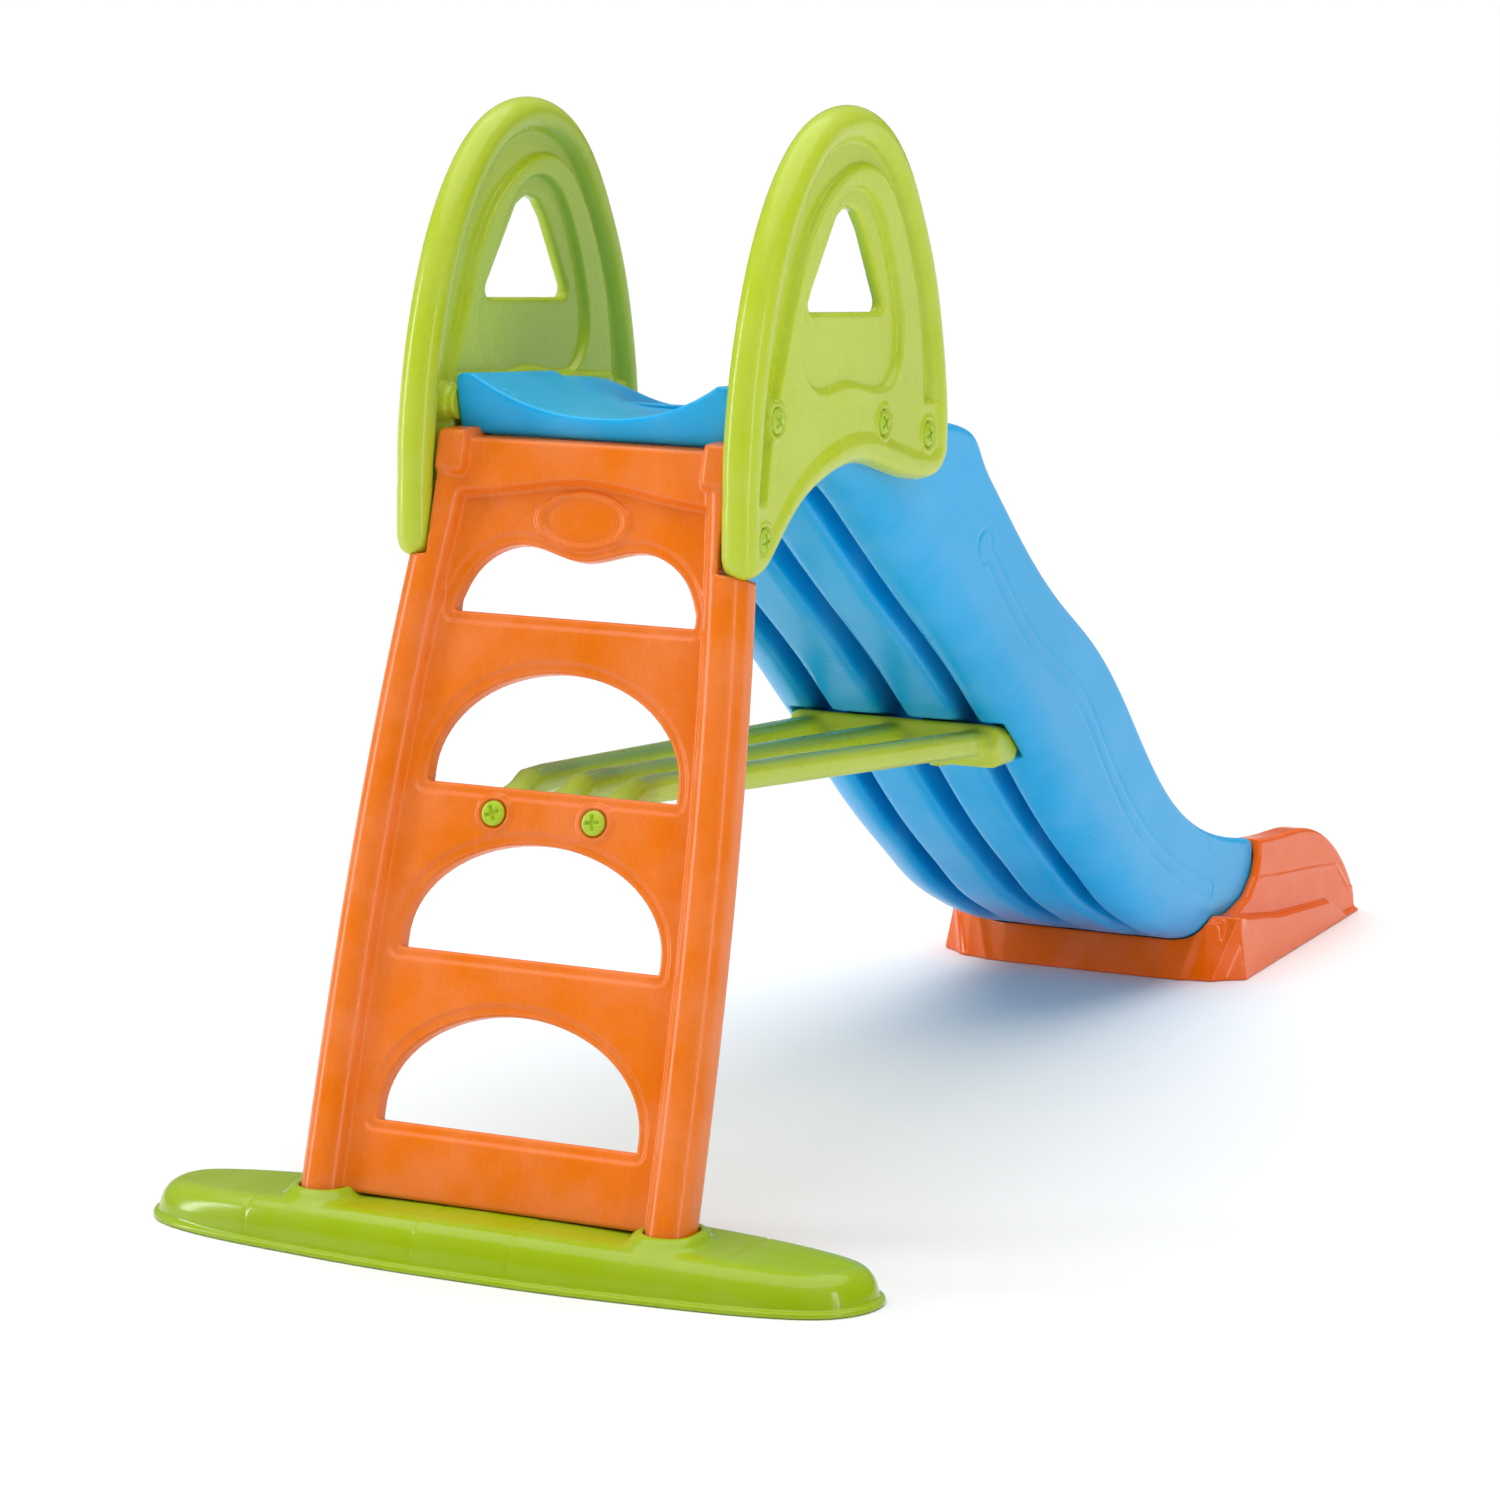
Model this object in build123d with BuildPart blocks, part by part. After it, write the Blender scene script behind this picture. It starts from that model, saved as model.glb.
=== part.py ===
"""Children's garden slide: ladder, foot bar, seat, two handrails, chute, brace and exit piece.

Millimetres. +X runs from the ladder to the exit, +Y to the left of a climbing child, +Z up.
The origin is on the floor, at the centre of the slide's outer box.
"""

import os
from math import atan, cos, sin

from build123d import *

os.makedirs("parts", exist_ok=True)

# ---------------------------------------------------------------- driving dimensions
LENGTH = 2365.0  # foot bar's rear edge to the exit's tip
TOP = 1300.0  # crown of the handrails
FIT = 0.5  # gap left where two mouldings meet

# ladder: a leaning panel, whose middle plane meets the floor at LADDER_X
LADDER_X = -1096.9
LEAN = atan(0.2918)
RUNG_Z = (140.0, 334.0, 521.5, 714.5)  # flat bottoms of the four openings
OPENING_HALF = (168.0, 167.0, 161.0, 155.0)
OPENING_RISE = (130.0, 127.0, 131.0)
OPENING_SIDE = 14.0  # upright part of an opening's sides
OPENING_CORNER = 7.0
LADDER_TOP_Z = 914.0
RAIL_WIDTH = 54.0
RAIL_FRONT = 36.0  # rail ahead of the middle plane
RAIL_BACK = 24.0
RAIL_EDGE = 15.0  # rounding of the rails' long edges
WEB_LOW_Z = 62.0  # lower edge of the panel between the rails
WEB_FRONT = 18.0
WEB_BACK = 14.0
RAIL_FOOT_HALF = 254.0  # outside of the rails at the floor
RAIL_TAPER = 50.0  # how much narrower each side is at the top
RAIL_TAPER_POWER = 2.6

# foot bar
FOOT_HALF = 474.0
FOOT_WIDTH = 205.0
FOOT_REAR_X = -LENGTH / 2
FOOT_HEIGHT = 56.0
FOOT_LIP = 7.0
FOOT_WALL = 6.0
FOOT_END_Z = 40.0  # top of the bar at its ends
FOOT_LEAN = 8.0  # its sides lean in by this much
SOCKET_GAP = 1.5  # around each leg in its socket
SOCKET_WALL = 8.0
SOCKET_TOP_Z = 58.0
SOCKET_FLOOR_Z = 17.0
LEG_FLOOR_Z = 20.0  # the rails' lower ends
FOOT_HEAD_Z = 8.0  # under the screw heads

# seat
SEAT_REAR_X = -849.5
SEAT_FRONT_X = -646.0
SEAT_HALF = 184.0
SEAT_BASE_Z = 917.0
SEAT_HORN_Z = 988.0
SEAT_SAG_Z = 945.0

# handrails
PANEL_Y = 214.0
PANEL_WEB = 30.0
PANEL_RIM = 46.0
RIM_EDGE = 13.0  # rounding of the rim's edges

# chute
CHUTE_HALF = 188.0
WALL = 30.0
FLOOR = 26.0
GROOVES = ((-122.0, -92.0), (-18.0, 18.0), (92.0, 122.0))  # y of each dark channel between the ribs
CHUTE_END_X = 786.0

# brace
BAR_X = -9.0
BAR_Z = 441.0
BAR_HALF = 152.0
BRACE_SPREAD = 122.0  # y of the outer bars at the cross bar
BRACE_NARROW = 66.0  # y of the outer bars at the ladder

# exit piece
EXIT_REAR_X = 595.0
EXIT_END_HALF = 214.0
EXIT_HALF = 204.0
EXIT_FLOOR_Z = 88.0
EXIT_FLARE = 8.0  # degrees the base leans in
EXIT_NECK = 300.0  # the cradle starts this far down the slope from the cross bar

# plastic screws with a broad cross-recessed head
HEAD_D = 30.0
HEAD_H = 6.0
SHANK_D = 14.0


def ladder_x(z):
    """x of the ladder's middle plane at a height."""
    return LADDER_X + z * sin(LEAN) / cos(LEAN)


def slope_length(z):
    """Distance up the leaning panel to a height."""
    return z / cos(LEAN)


def rail_half(z):
    """Outside half width of the ladder at a height."""
    return RAIL_FOOT_HALF - RAIL_TAPER * (max(z, 0.0) / LADDER_TOP_Z) ** RAIL_TAPER_POWER


# The panel's plane: local x to the climber's right, local y up the slope, z out to the climber.
ladder_plane = Plane(origin=(LADDER_X, 0, 0), x_dir=(0, -1, 0), z_dir=(-cos(LEAN), 0, sin(LEAN)))


def save(part, name):
    """Label a finished piece and write its STEP file."""
    part.label = name
    export_step(part, f"parts/{name}.step")


def side_plane(y):
    """A plane across the slide at y, with local x = x and local y = z, its normal to -Y."""
    return Plane(origin=(0, y, 0), x_dir=(1, 0, 0), z_dir=(0, -1, 0))


# ---------------------------------------------------------------- shared curves, seen from the side (x, z)
WALL_TOP = [(-640, 966), (-520, 952), (-400, 918), (-300, 896), (-221, 880), (-188, 864), (-166, 836),
            (-122, 790), (-37, 712), (80, 622), (194, 550), (275, 484), (359, 398), (479, 288), (586, 229),
            (697, 194), (CHUTE_END_X, 176)]
SLIDE = [(-640, 940), (-560, 926), (-450, 862), (-300, 750), (-120, 628), (13, 540), (143, 430),
         (250, 345), (361, 265), (525, 170), (650, 118), (CHUTE_END_X, 92)]
RIB_BOTTOM = [(-640, 872), (-560, 852), (-450, 782), (-300, 668), (-120, 536), (-60, 486), (13, 425),
              (97, 349), (220, 250), (291, 200), (359, 153), (430, 117), (500, 88), (620, 55),
              (CHUTE_END_X, 44)]


def below(points, depth):
    """The same curve moved square to itself by depth, downwards."""
    moved = []
    last = len(points) - 1
    for i, (x, z) in enumerate(points):
        x0, z0 = points[max(i - 1, 0)]
        x1, z1 = points[min(i + 1, last)]
        run = ((x1 - x0) ** 2 + (z1 - z0) ** 2) ** 0.5
        moved.append((x + depth * (z1 - z0) / run, z - depth * (x1 - x0) / run))
    moved[0] = (points[0][0], moved[0][1])
    moved[-1] = (points[-1][0], moved[-1][1])
    return moved


FLOOR_BOTTOM = below(SLIDE, FLOOR)


def strip(upper, lower):
    """Face between two curves that start and end above one another."""
    with BuildLine() as outline:
        top = Spline(*upper)
        bottom = Spline(*lower)
        Line(top @ 0, bottom @ 0)
        Line(top @ 1, bottom @ 1)
    make_face(outline.line.edges())


# ---------------------------------------------------------------- screws
HANDRAIL_SCREWS = ((-834, 952), (-553, 922), (-429, 895), (-866, 818))  # x, z
LADDER_SCREW_Z = 491.0
LADDER_SCREW_Y = 66.0
HANDRAIL_HEAD_Y = PANEL_Y + PANEL_WEB / 2
HANDRAIL_SHANK = 44.0
LADDER_SHANK = 46.0
FOOT_SHANK = 40.0
EXIT_SHANK = 80.0
EXIT_SCREW = (700.0, 96.0, 55.0, 1)  # x, z, y to each side, and which way the head faces
BRACE_SHANK = 80.0
BRACE_SCREW = (BAR_X, BAR_Z - 31.0, 55.0, -1)


def screw(place, shank):
    """One screw: a domed head standing on place's plane, a cross recess and a shank behind it."""
    with BuildPart() as one:
        with BuildSketch(place):
            Circle(HEAD_D / 2)
        extrude(amount=HEAD_H)
        rim = one.edges().filter_by(GeomType.CIRCLE).sort_by(Axis(place.origin, place.z_dir))[-1]
        fillet(rim, HEAD_H * 0.6)
        with BuildSketch(place.offset(HEAD_H - 3)):
            Rectangle(HEAD_D * 0.62, 4)
            Rectangle(4, HEAD_D * 0.62)
        extrude(amount=6, mode=Mode.SUBTRACT)
        with BuildSketch(place):
            Circle(SHANK_D / 2)
        extrude(amount=-shank)
    return one.part


def handrail_places(side):
    """Where the handrail's screws stand, on its outer face."""
    return [
        Plane(origin=(x, side * HANDRAIL_HEAD_Y, z), x_dir=(1, 0, 0), z_dir=(0, side, 0))
        for x, z in HANDRAIL_SCREWS
    ]


def ladder_places():
    """Where the tread's screws stand, on the web's face."""
    return [
        Plane(origin=ladder_plane.from_local_coords(Vector(y, slope_length(LADDER_SCREW_Z), WEB_FRONT)),
              x_dir=ladder_plane.x_dir, z_dir=ladder_plane.z_dir)
        for y in (-LADDER_SCREW_Y, LADDER_SCREW_Y)
    ]


def sink(places, depth=30.0):
    """Cut the round recess that each screw's head sits in."""
    for place in places:
        with BuildSketch(place) as recess:
            Circle(HEAD_D / 2 + 1.5)
        extrude(recess.sketch, amount=depth, mode=Mode.SUBTRACT)


def drill(places, depth, above=30.0):
    """Cut each screw's clearance hole, from above its plane to depth below it."""
    for place in places:
        with BuildSketch(place.offset(above)) as hole:
            Circle(SHANK_D / 2 + FIT)
        extrude(hole.sketch, amount=-(above + depth + 1), mode=Mode.SUBTRACT)


def fastener_places(x, z, spread, up):
    """Two places side by side at x, z, whose screws' heads face up (1) or down (-1)."""
    return [Plane(origin=(x, y, z), x_dir=(1, 0, 0), z_dir=(0, 0, up)) for y in (-spread, spread)]


def foot_places():
    """Under the foot bar's sockets, heads down in their recesses."""
    return [Plane(origin=(ladder_x(FOOT_HEAD_Z) - 6, side * (RAIL_FOOT_HALF - RAIL_WIDTH / 2), FOOT_HEAD_Z),
                  x_dir=(1, 0, 0), z_dir=(0, 0, -1)) for side in (1, -1)]


# ---------------------------------------------------------------- foot bar
FOOT_SIDE = [(0, 0), (2, 120), (14, 260), (37, 395), (60, 443), (97, 469), (137, FOOT_HALF), (170, 453),
             (190, 400), (200, 250), (FOOT_WIDTH, 0)]  # x from the rear edge, and y, of one half


def boat(inset):
    """Plan of the foot bar: a bowed rear edge, blunt round ends and a nearly straight front."""
    middle = FOOT_REAR_X + FOOT_WIDTH / 2
    across = 1 - 2 * inset / FOOT_WIDTH
    along = 1 - inset / FOOT_HALF
    half = [(middle + (x - FOOT_WIDTH / 2) * across, y * along) for x, y in FOOT_SIDE]
    with BuildLine() as outline:
        Spline(*[(x, -y) for x, y in half], tangents=[(0, -1), (0, 1)])
        Spline(*half, tangents=[(0, 1), (0, -1)])
    make_face(outline.line.edges())


def rail_sketch(grow, low, high):
    """Both rails as bands on the ladder's plane, between two heights."""
    steps = [low + (high - low) * i / 6 for i in range(7)]
    for side in (-1, 1):
        with BuildLine() as outline:
            outer = Spline(*[(side * (rail_half(z) + grow), slope_length(z)) for z in steps])
            inner = Spline(*[(side * (rail_half(z) - RAIL_WIDTH - grow), slope_length(z)) for z in steps])
            Line(outer @ 0, inner @ 0)
            Line(outer @ 1, inner @ 1)
        make_face(outline.line.edges())


with BuildPart() as foot_bar:
    with BuildSketch():
        boat(0)
    extrude(amount=FOOT_LIP)
    for level, inset in ((FOOT_LIP, FOOT_WALL), (FOOT_HEIGHT, FOOT_WALL + FOOT_LEAN)):
        with BuildSketch(Plane.XY.offset(level)):
            boat(inset)
    loft(ruled=True)
    with BuildSketch(Plane.YZ.offset(FOOT_REAR_X - 10)):
        with BuildLine():
            left = (-FOOT_HALF - 10, FOOT_END_Z)
            right = (FOOT_HALF + 10, FOOT_END_Z)
            Polyline(left, (left[0], FOOT_HEIGHT + 40), (right[0], FOOT_HEIGHT + 40), right)
            ThreePointArc(left, (0, FOOT_HEIGHT), right)
        make_face()
    extrude(amount=FOOT_WIDTH + 40, mode=Mode.SUBTRACT)
    with BuildSketch(ladder_plane.offset(-RAIL_BACK - 6)):
        rail_sketch(SOCKET_WALL, LEG_FLOOR_Z + 10, SOCKET_TOP_Z)
    extrude(amount=RAIL_FRONT + RAIL_BACK + 12)
    with BuildSketch():
        boat(FOOT_WALL + 8)
        for side in (1, -1):
            with Locations((ladder_x(25) - 6, side * (RAIL_FOOT_HALF - RAIL_WIDTH / 2))):
                Rectangle(RAIL_FRONT + RAIL_BACK + 34, RAIL_WIDTH + 22, mode=Mode.SUBTRACT)
    extrude(amount=FOOT_END_Z - 3 * FOOT_WALL, mode=Mode.SUBTRACT)
    with BuildSketch(ladder_plane.offset(-RAIL_BACK - SOCKET_GAP)):
        rail_sketch(SOCKET_GAP, SOCKET_FLOOR_Z, RUNG_Z[0])
    extrude(amount=RAIL_FRONT + RAIL_BACK + 2 * SOCKET_GAP, mode=Mode.SUBTRACT)
    drill(foot_places(), SOCKET_TOP_Z)
    sink(foot_places())
save(foot_bar.part, "foot_bar")

# ---------------------------------------------------------------- handrails
RIM_OUTSIDE = [(-914, 800), (-912, 868), (-899, 976), (-876, 1062), (-838, 1150), (-784, 1225),
               (-714, 1279), (-630, TOP), (-552, 1283), (-495, 1243), (-443, 1170), (-404, 1088),
               (-380, 1000), (-368, 905), (-368, 866)]
PANEL_BOTTOM = [(-368, 866), (-385, 846), (-440, 839), (-530, 860), (-610, 878), (-700, 869), (-775, 841),
                (-830, 800), (-870, 776), (-905, 780), (-914, 800)]
FIELD_EDGE = [(-872, 858), (-848, 976), (-806, 1080), (-743, 1163), (-681, 1211), (-605, 1235),
              (-532, 1192), (-484, 1130), (-452, 1062), (-432, 934)]
WINDOW = ((-734, 1067), (-538, 1051), (-592, 1150), (-612, 1173), (-652, 1178), (-676, 1158))
WINDOW_CORNER = 9.0


def panel_outline():
    """The handrail's outside edge: a tall arch on a waved skirt."""
    with BuildLine() as outline:
        Spline(*RIM_OUTSIDE)
        Spline(*PANEL_BOTTOM)
    make_face(outline.line.edges())


def panel_inside():
    """The flatter field inside the rim, open downwards."""
    with BuildLine() as outline:
        Spline(*FIELD_EDGE)
        Polyline(FIELD_EDGE[-1], (-432, 700), (-872, 700), FIELD_EDGE[0])
    make_face(outline.line.edges())


def handrail(side):
    """One handrail panel, on the left (side 1) or the right (side -1)."""
    middle = side_plane(side * PANEL_Y)
    with BuildPart() as panel:
        with BuildSketch(middle):
            panel_outline()
        extrude(amount=PANEL_RIM / 2, both=True)
        fillet(panel.faces().filter_by(Axis.Y).edges(), RIM_EDGE)
        for face in (1, -1):
            with BuildSketch(middle.offset(face * PANEL_WEB / 2)):
                panel_inside()
            extrude(amount=face * PANEL_RIM, mode=Mode.SUBTRACT)
        with BuildSketch(middle) as window:
            Polygon(*WINDOW, align=None)
            fillet(window.vertices(), WINDOW_CORNER)
        extrude(amount=PANEL_RIM, both=True, mode=Mode.SUBTRACT)
        drill(handrail_places(side), PANEL_RIM)
        sink(handrail_places(side))
    return panel.part


save(handrail(1), "handrail_left")
save(handrail(-1), "handrail_right")

# ---------------------------------------------------------------- ladder
def opening(index):
    """One stepping opening: a flat tread below and an arch above; the top one has a waved head."""
    half = OPENING_HALF[index]
    low = slope_length(RUNG_Z[index])
    with BuildLine() as outline:
        Line((-half, low), (half, low))
        if index < 3:
            rise = OPENING_RISE[index] / cos(LEAN)
            Line((half, low), (half, low + OPENING_SIDE))
            EllipticalCenterArc((0, low + OPENING_SIDE), half, rise - OPENING_SIDE, start_angle=0, arc_size=180)
            Line((-half, low + OPENING_SIDE), (-half, low))
        else:
            Line((half, low), (half, low + OPENING_SIDE))
            Spline((half, low + OPENING_SIDE), (half * 0.88, low + 48), (78, low + 81), (0, low + 66),
                   (-78, low + 81), (-half * 0.88, low + 48), (-half, low + OPENING_SIDE))
            Line((-half, low + OPENING_SIDE), (-half, low))
    make_face(outline.line.edges())


with BuildPart() as ladder:
    with BuildSketch(ladder_plane.offset(-RAIL_BACK)):
        rail_sketch(0, LEG_FLOOR_Z, LADDER_TOP_Z)
    extrude(amount=RAIL_FRONT + RAIL_BACK)
    long_edges = ladder.edges().filter_by(GeomType.LINE, reverse=True)
    fillet(long_edges, RAIL_EDGE)
    with BuildSketch(ladder_plane.offset(-WEB_BACK)):
        with BuildLine():
            web_heights = [WEB_LOW_Z + (LADDER_TOP_Z - WEB_LOW_Z) * i / 6 for i in range(7)]
            right = Spline(*[(rail_half(z) - RAIL_WIDTH / 2, slope_length(z)) for z in web_heights])
            left = Spline(*[(RAIL_WIDTH / 2 - rail_half(z), slope_length(z)) for z in web_heights])
            Line(right @ 0, left @ 0)
            Line(right @ 1, left @ 1)
        make_face()
    extrude(amount=WEB_FRONT + WEB_BACK)
    for number in range(len(RUNG_Z)):
        with BuildSketch(ladder_plane.offset(-RAIL_BACK)) as hole:
            opening(number)
            fillet(hole.vertices().sort_by(Axis.Y)[:2], OPENING_CORNER)
        extrude(amount=RAIL_FRONT + RAIL_BACK, mode=Mode.SUBTRACT)
    with BuildSketch(Plane.XY.offset(SEAT_BASE_Z - FIT)):
        with Locations((ladder_x(SEAT_BASE_Z) + 90, 0)):
            Rectangle(400, 700)
    extrude(amount=80, mode=Mode.SUBTRACT)
    for side in (1, -1):
        with BuildSketch(side_plane(side * (PANEL_Y - PANEL_RIM / 2 - FIT))):
            with BuildLine():
                Polyline((-940, 768), (-800, 768), (-800, 1000), (-940, 1000), close=True)
            make_face()
        extrude(amount=-side * 80, mode=Mode.SUBTRACT)
        drill(handrail_places(side)[3:], HANDRAIL_SHANK)
    drill(ladder_places(), LADDER_SHANK)
    drill(foot_places(), FOOT_SHANK)
save(ladder.part, "ladder")

# ---------------------------------------------------------------- seat
with BuildPart() as seat:
    with BuildSketch(Plane.YZ.offset(SEAT_REAR_X)) as seat_end:
        with BuildLine():
            Line((-SEAT_HALF, SEAT_BASE_Z), (SEAT_HALF, SEAT_BASE_Z))
            Line((SEAT_HALF, SEAT_BASE_Z), (SEAT_HALF, SEAT_HORN_Z - 12))
            Spline((SEAT_HALF, SEAT_HORN_Z - 12), (168, SEAT_HORN_Z), (110, 960), (0, SEAT_SAG_Z),
                   (-110, 960), (-168, SEAT_HORN_Z), (-SEAT_HALF, SEAT_HORN_Z - 12))
            Line((-SEAT_HALF, SEAT_HORN_Z - 12), (-SEAT_HALF, SEAT_BASE_Z))
        make_face()
    extrude(amount=SEAT_FRONT_X - SEAT_REAR_X)
    fillet(seat.edges().filter_by(Axis.X), 5)
    for side in (1, -1):
        drill(handrail_places(side)[:1], HANDRAIL_SHANK)
save(seat.part, "seat")

# ---------------------------------------------------------------- brace
BRACE_START_X = ladder_x(LADDER_SCREW_Z) + WEB_BACK / cos(LEAN) + FIT
BRACE_WIDTH = 34.0
BRACE_DEPTH = 33.0
PAD_HEIGHT = 50.0  # mounting pad behind the tread
PAD_DEPTH = 22.0


BAR_SECTION = [(-46, -2), (-30, 28), (16, 20), (47, -10), (30, -31), (-26, -30)]
SOCKET_SECTION = [(-60, -60), (-47, -2), (-31, 29), (17, 21), (48, -10), (31, -32), (20, -80)]


def bar_outline():
    """The cross bar's six-sided section, seen from the side."""
    with BuildLine() as outline:
        Polyline(*[(BAR_X + x, BAR_Z + z) for x, z in BAR_SECTION], close=True)
    make_face(outline.line.edges())


with BuildPart() as brace:
    with BuildSketch(Plane.XZ):
        bar_outline()
    extrude(amount=BAR_HALF, both=True)
    fillet(brace.edges().filter_by(Axis.Y), 8)
    for start_y, end_y in ((-BRACE_NARROW, -BRACE_SPREAD), (0, 0), (BRACE_NARROW, BRACE_SPREAD)):
        with BuildLine() as run:
            Polyline((BRACE_START_X + 6, start_y, 500), (BRACE_START_X + 60, start_y * 1.08, 520),
                     (BAR_X - 20, end_y, 446))
        with BuildSketch(Plane(origin=run.line @ 0, x_dir=(0, 1, 0), z_dir=run.line % 0)):
            RectangleRounded(BRACE_WIDTH, BRACE_DEPTH, 12)
        sweep(path=run.line, transition=Transition.RIGHT)
    pad_centre = ladder_plane.from_local_coords(Vector(0, slope_length(LADDER_SCREW_Z), -WEB_BACK - FIT))
    with BuildSketch(Plane(origin=pad_centre, x_dir=(0, -1, 0), z_dir=-ladder_plane.z_dir)):
        RectangleRounded(2 * BRACE_NARROW + 44, PAD_HEIGHT, 9)
    extrude(amount=PAD_DEPTH)
    drill(ladder_places(), LADDER_SHANK)
    drill(fastener_places(*BRACE_SCREW), BRACE_SHANK)
    with BuildSketch(ladder_plane.offset(-WEB_BACK - FIT)):
        Rectangle(900, 3000)
    extrude(amount=200, mode=Mode.SUBTRACT)
save(brace.part, "brace")

# ---------------------------------------------------------------- chute
with BuildPart() as chute:
    with BuildSketch(Plane.XZ):
        strip(WALL_TOP, RIB_BOTTOM)
    extrude(amount=CHUTE_HALF, both=True)
    with BuildSketch(Plane.XZ):
        with BuildLine():
            slide = Spline(*SLIDE)
            Polyline(slide @ 1, (CHUTE_END_X, 1200), (SLIDE[0][0], 1200), slide @ 0)
        make_face()
    extrude(amount=CHUTE_HALF - WALL, both=True, mode=Mode.SUBTRACT)
    for low, high in GROOVES:
        with BuildSketch(side_plane(low)):
            with BuildLine():
                roof = Spline(*FLOOR_BOTTOM)
                Polyline(roof @ 1, (CHUTE_END_X, -200), (SLIDE[0][0], -200), roof @ 0)
            make_face()
        extrude(amount=low - high, mode=Mode.SUBTRACT)
    for side in (1, -1):
        with BuildSketch(side_plane(side * (CHUTE_HALF - WALL))):
            with BuildLine():
                corner = Spline((500, 112), (600, 84), (690, 92), (745, 110), (CHUTE_END_X + 2, 158))
                Polyline(corner @ 1, (CHUTE_END_X + 2, 0), (500, 0), corner @ 0)
            make_face()
        extrude(amount=-side * (WALL + 5), mode=Mode.SUBTRACT)
        drill(handrail_places(side)[1:3], HANDRAIL_SHANK)
    with BuildSketch(Plane.XZ):
        with BuildLine():
            Polyline(*[(BAR_X + x, BAR_Z + z) for x, z in SOCKET_SECTION], close=True)
        make_face()
    extrude(amount=BAR_HALF + 1, both=True, mode=Mode.SUBTRACT)
    drill(fastener_places(*EXIT_SCREW), EXIT_SHANK)
    sink(fastener_places(*EXIT_SCREW))
    drill(fastener_places(*BRACE_SCREW), BRACE_SHANK)
    with BuildSketch(Plane.XY.offset(SEAT_BASE_Z - FIT)):
        with Locations((SLIDE[0][0] - 20, 0)):
            Rectangle(80, 300)
    extrude(amount=-34)
save(chute.part, "chute")

# ---------------------------------------------------------------- exit piece
EXIT_TOP = [(CHUTE_END_X + FIT, 176), (870, 168), (970, 160), (1045, 138), (1105, 102), (1150, 56),
            (LENGTH / 2, 2)]
EXIT_WALL_X = EXIT_REAR_X + 20
EXIT_SHOULDER = [(640, 80), (680, 86), (737, 101), (768, 124), (780, 148), (CHUTE_END_X, 176)]
EXIT_SLIDE = [(CHUTE_END_X + FIT, EXIT_FLOOR_Z), (900, 76), (1050, 62), (1140, 30), (LENGTH / 2 - 8, 1)]
EXIT_REAR = [(660, 238), (638, 236), (608, 184), (597, 120), (EXIT_REAR_X, 0), (597, -120), (608, -184),
             (638, -236), (660, -238)]  # x, y of the bowed rear wall, from left to right
EXIT_END_X = LENGTH / 2 - 14
EXIT_SHELF = [(EXIT_REAR_X, 92), (640, 90), (713, 77), (828, 58), (1042, 38), (1110, 4)]

with BuildPart() as exit_piece:
    with BuildSketch(Plane.XY):
        with BuildLine():
            rear = Spline(*EXIT_REAR)
            Polyline(rear @ 1, (EXIT_END_X, -EXIT_END_HALF), (EXIT_END_X, EXIT_END_HALF), rear @ 0)
        make_face()
    extrude(amount=EXIT_FLOOR_Z, taper=EXIT_FLARE)
    with BuildSketch(Plane.XZ):
        with BuildLine():
            Polyline(*EXIT_SHELF, (LENGTH / 2, 4), (LENGTH / 2, TOP), (EXIT_REAR_X, TOP), close=True)
        make_face()
    extrude(amount=FOOT_HALF, both=True, mode=Mode.SUBTRACT)
    with BuildSketch(Plane.XZ):
        with BuildLine():
            ridge = Spline(*EXIT_TOP)
            Polyline(ridge @ 1, (LENGTH / 2, 0), (EXIT_WALL_X, 0), (EXIT_WALL_X, EXIT_SHOULDER[0][1]),
                     *EXIT_SHOULDER, ridge @ 0)
        make_face()
    extrude(amount=EXIT_HALF, both=True)
    with BuildSketch(Plane.XZ):
        with BuildLine():
            run_out = Spline(*EXIT_SLIDE)
            beyond = LENGTH / 2 + 20
            Polyline(run_out @ 1, (beyond, 1), (beyond, 400), (CHUTE_END_X, 400), run_out @ 0)
        make_face()
    extrude(amount=CHUTE_HALF - WALL, both=True, mode=Mode.SUBTRACT)
    with BuildSketch(Plane.XZ):
        with BuildLine():
            cradle = Spline(*[(x, z - FIT) for x, z in RIB_BOTTOM if x > BAR_X + EXIT_NECK])
            end_x = CHUTE_END_X + FIT
            Polyline(cradle @ 1, (end_x, (cradle @ 1).Y), (end_x, 400), ((cradle @ 0).X, 400), cradle @ 0)
        make_face()
    extrude(amount=CHUTE_HALF + FIT, both=True, mode=Mode.SUBTRACT)
    drill(fastener_places(*EXIT_SCREW), EXIT_SHANK)
save(exit_piece.part, "exit_piece")

# ---------------------------------------------------------------- fasteners
all_handrail_places = handrail_places(1) + handrail_places(-1)
save(Compound([screw(place, HANDRAIL_SHANK) for place in all_handrail_places]), "handrail_screws")
save(Compound([screw(place, LADDER_SHANK) for place in ladder_places()]), "ladder_screws")
save(Compound([screw(place, FOOT_SHANK) for place in foot_places()]), "foot_screws")
save(Compound([screw(place, EXIT_SHANK) for place in fastener_places(*EXIT_SCREW)]), "exit_screws")
save(Compound([screw(place, BRACE_SHANK) for place in fastener_places(*BRACE_SCREW)]), "brace_screws")
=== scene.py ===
"""Children's slide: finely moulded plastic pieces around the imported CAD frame.

Each moulding is a signed distance field, worked out in millimetres on a grid and turned into a
mesh, so that its edges and hollows are rounded the way blow-moulded plastic is.
"""

from math import atan, cos, pi, radians, sin

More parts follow.
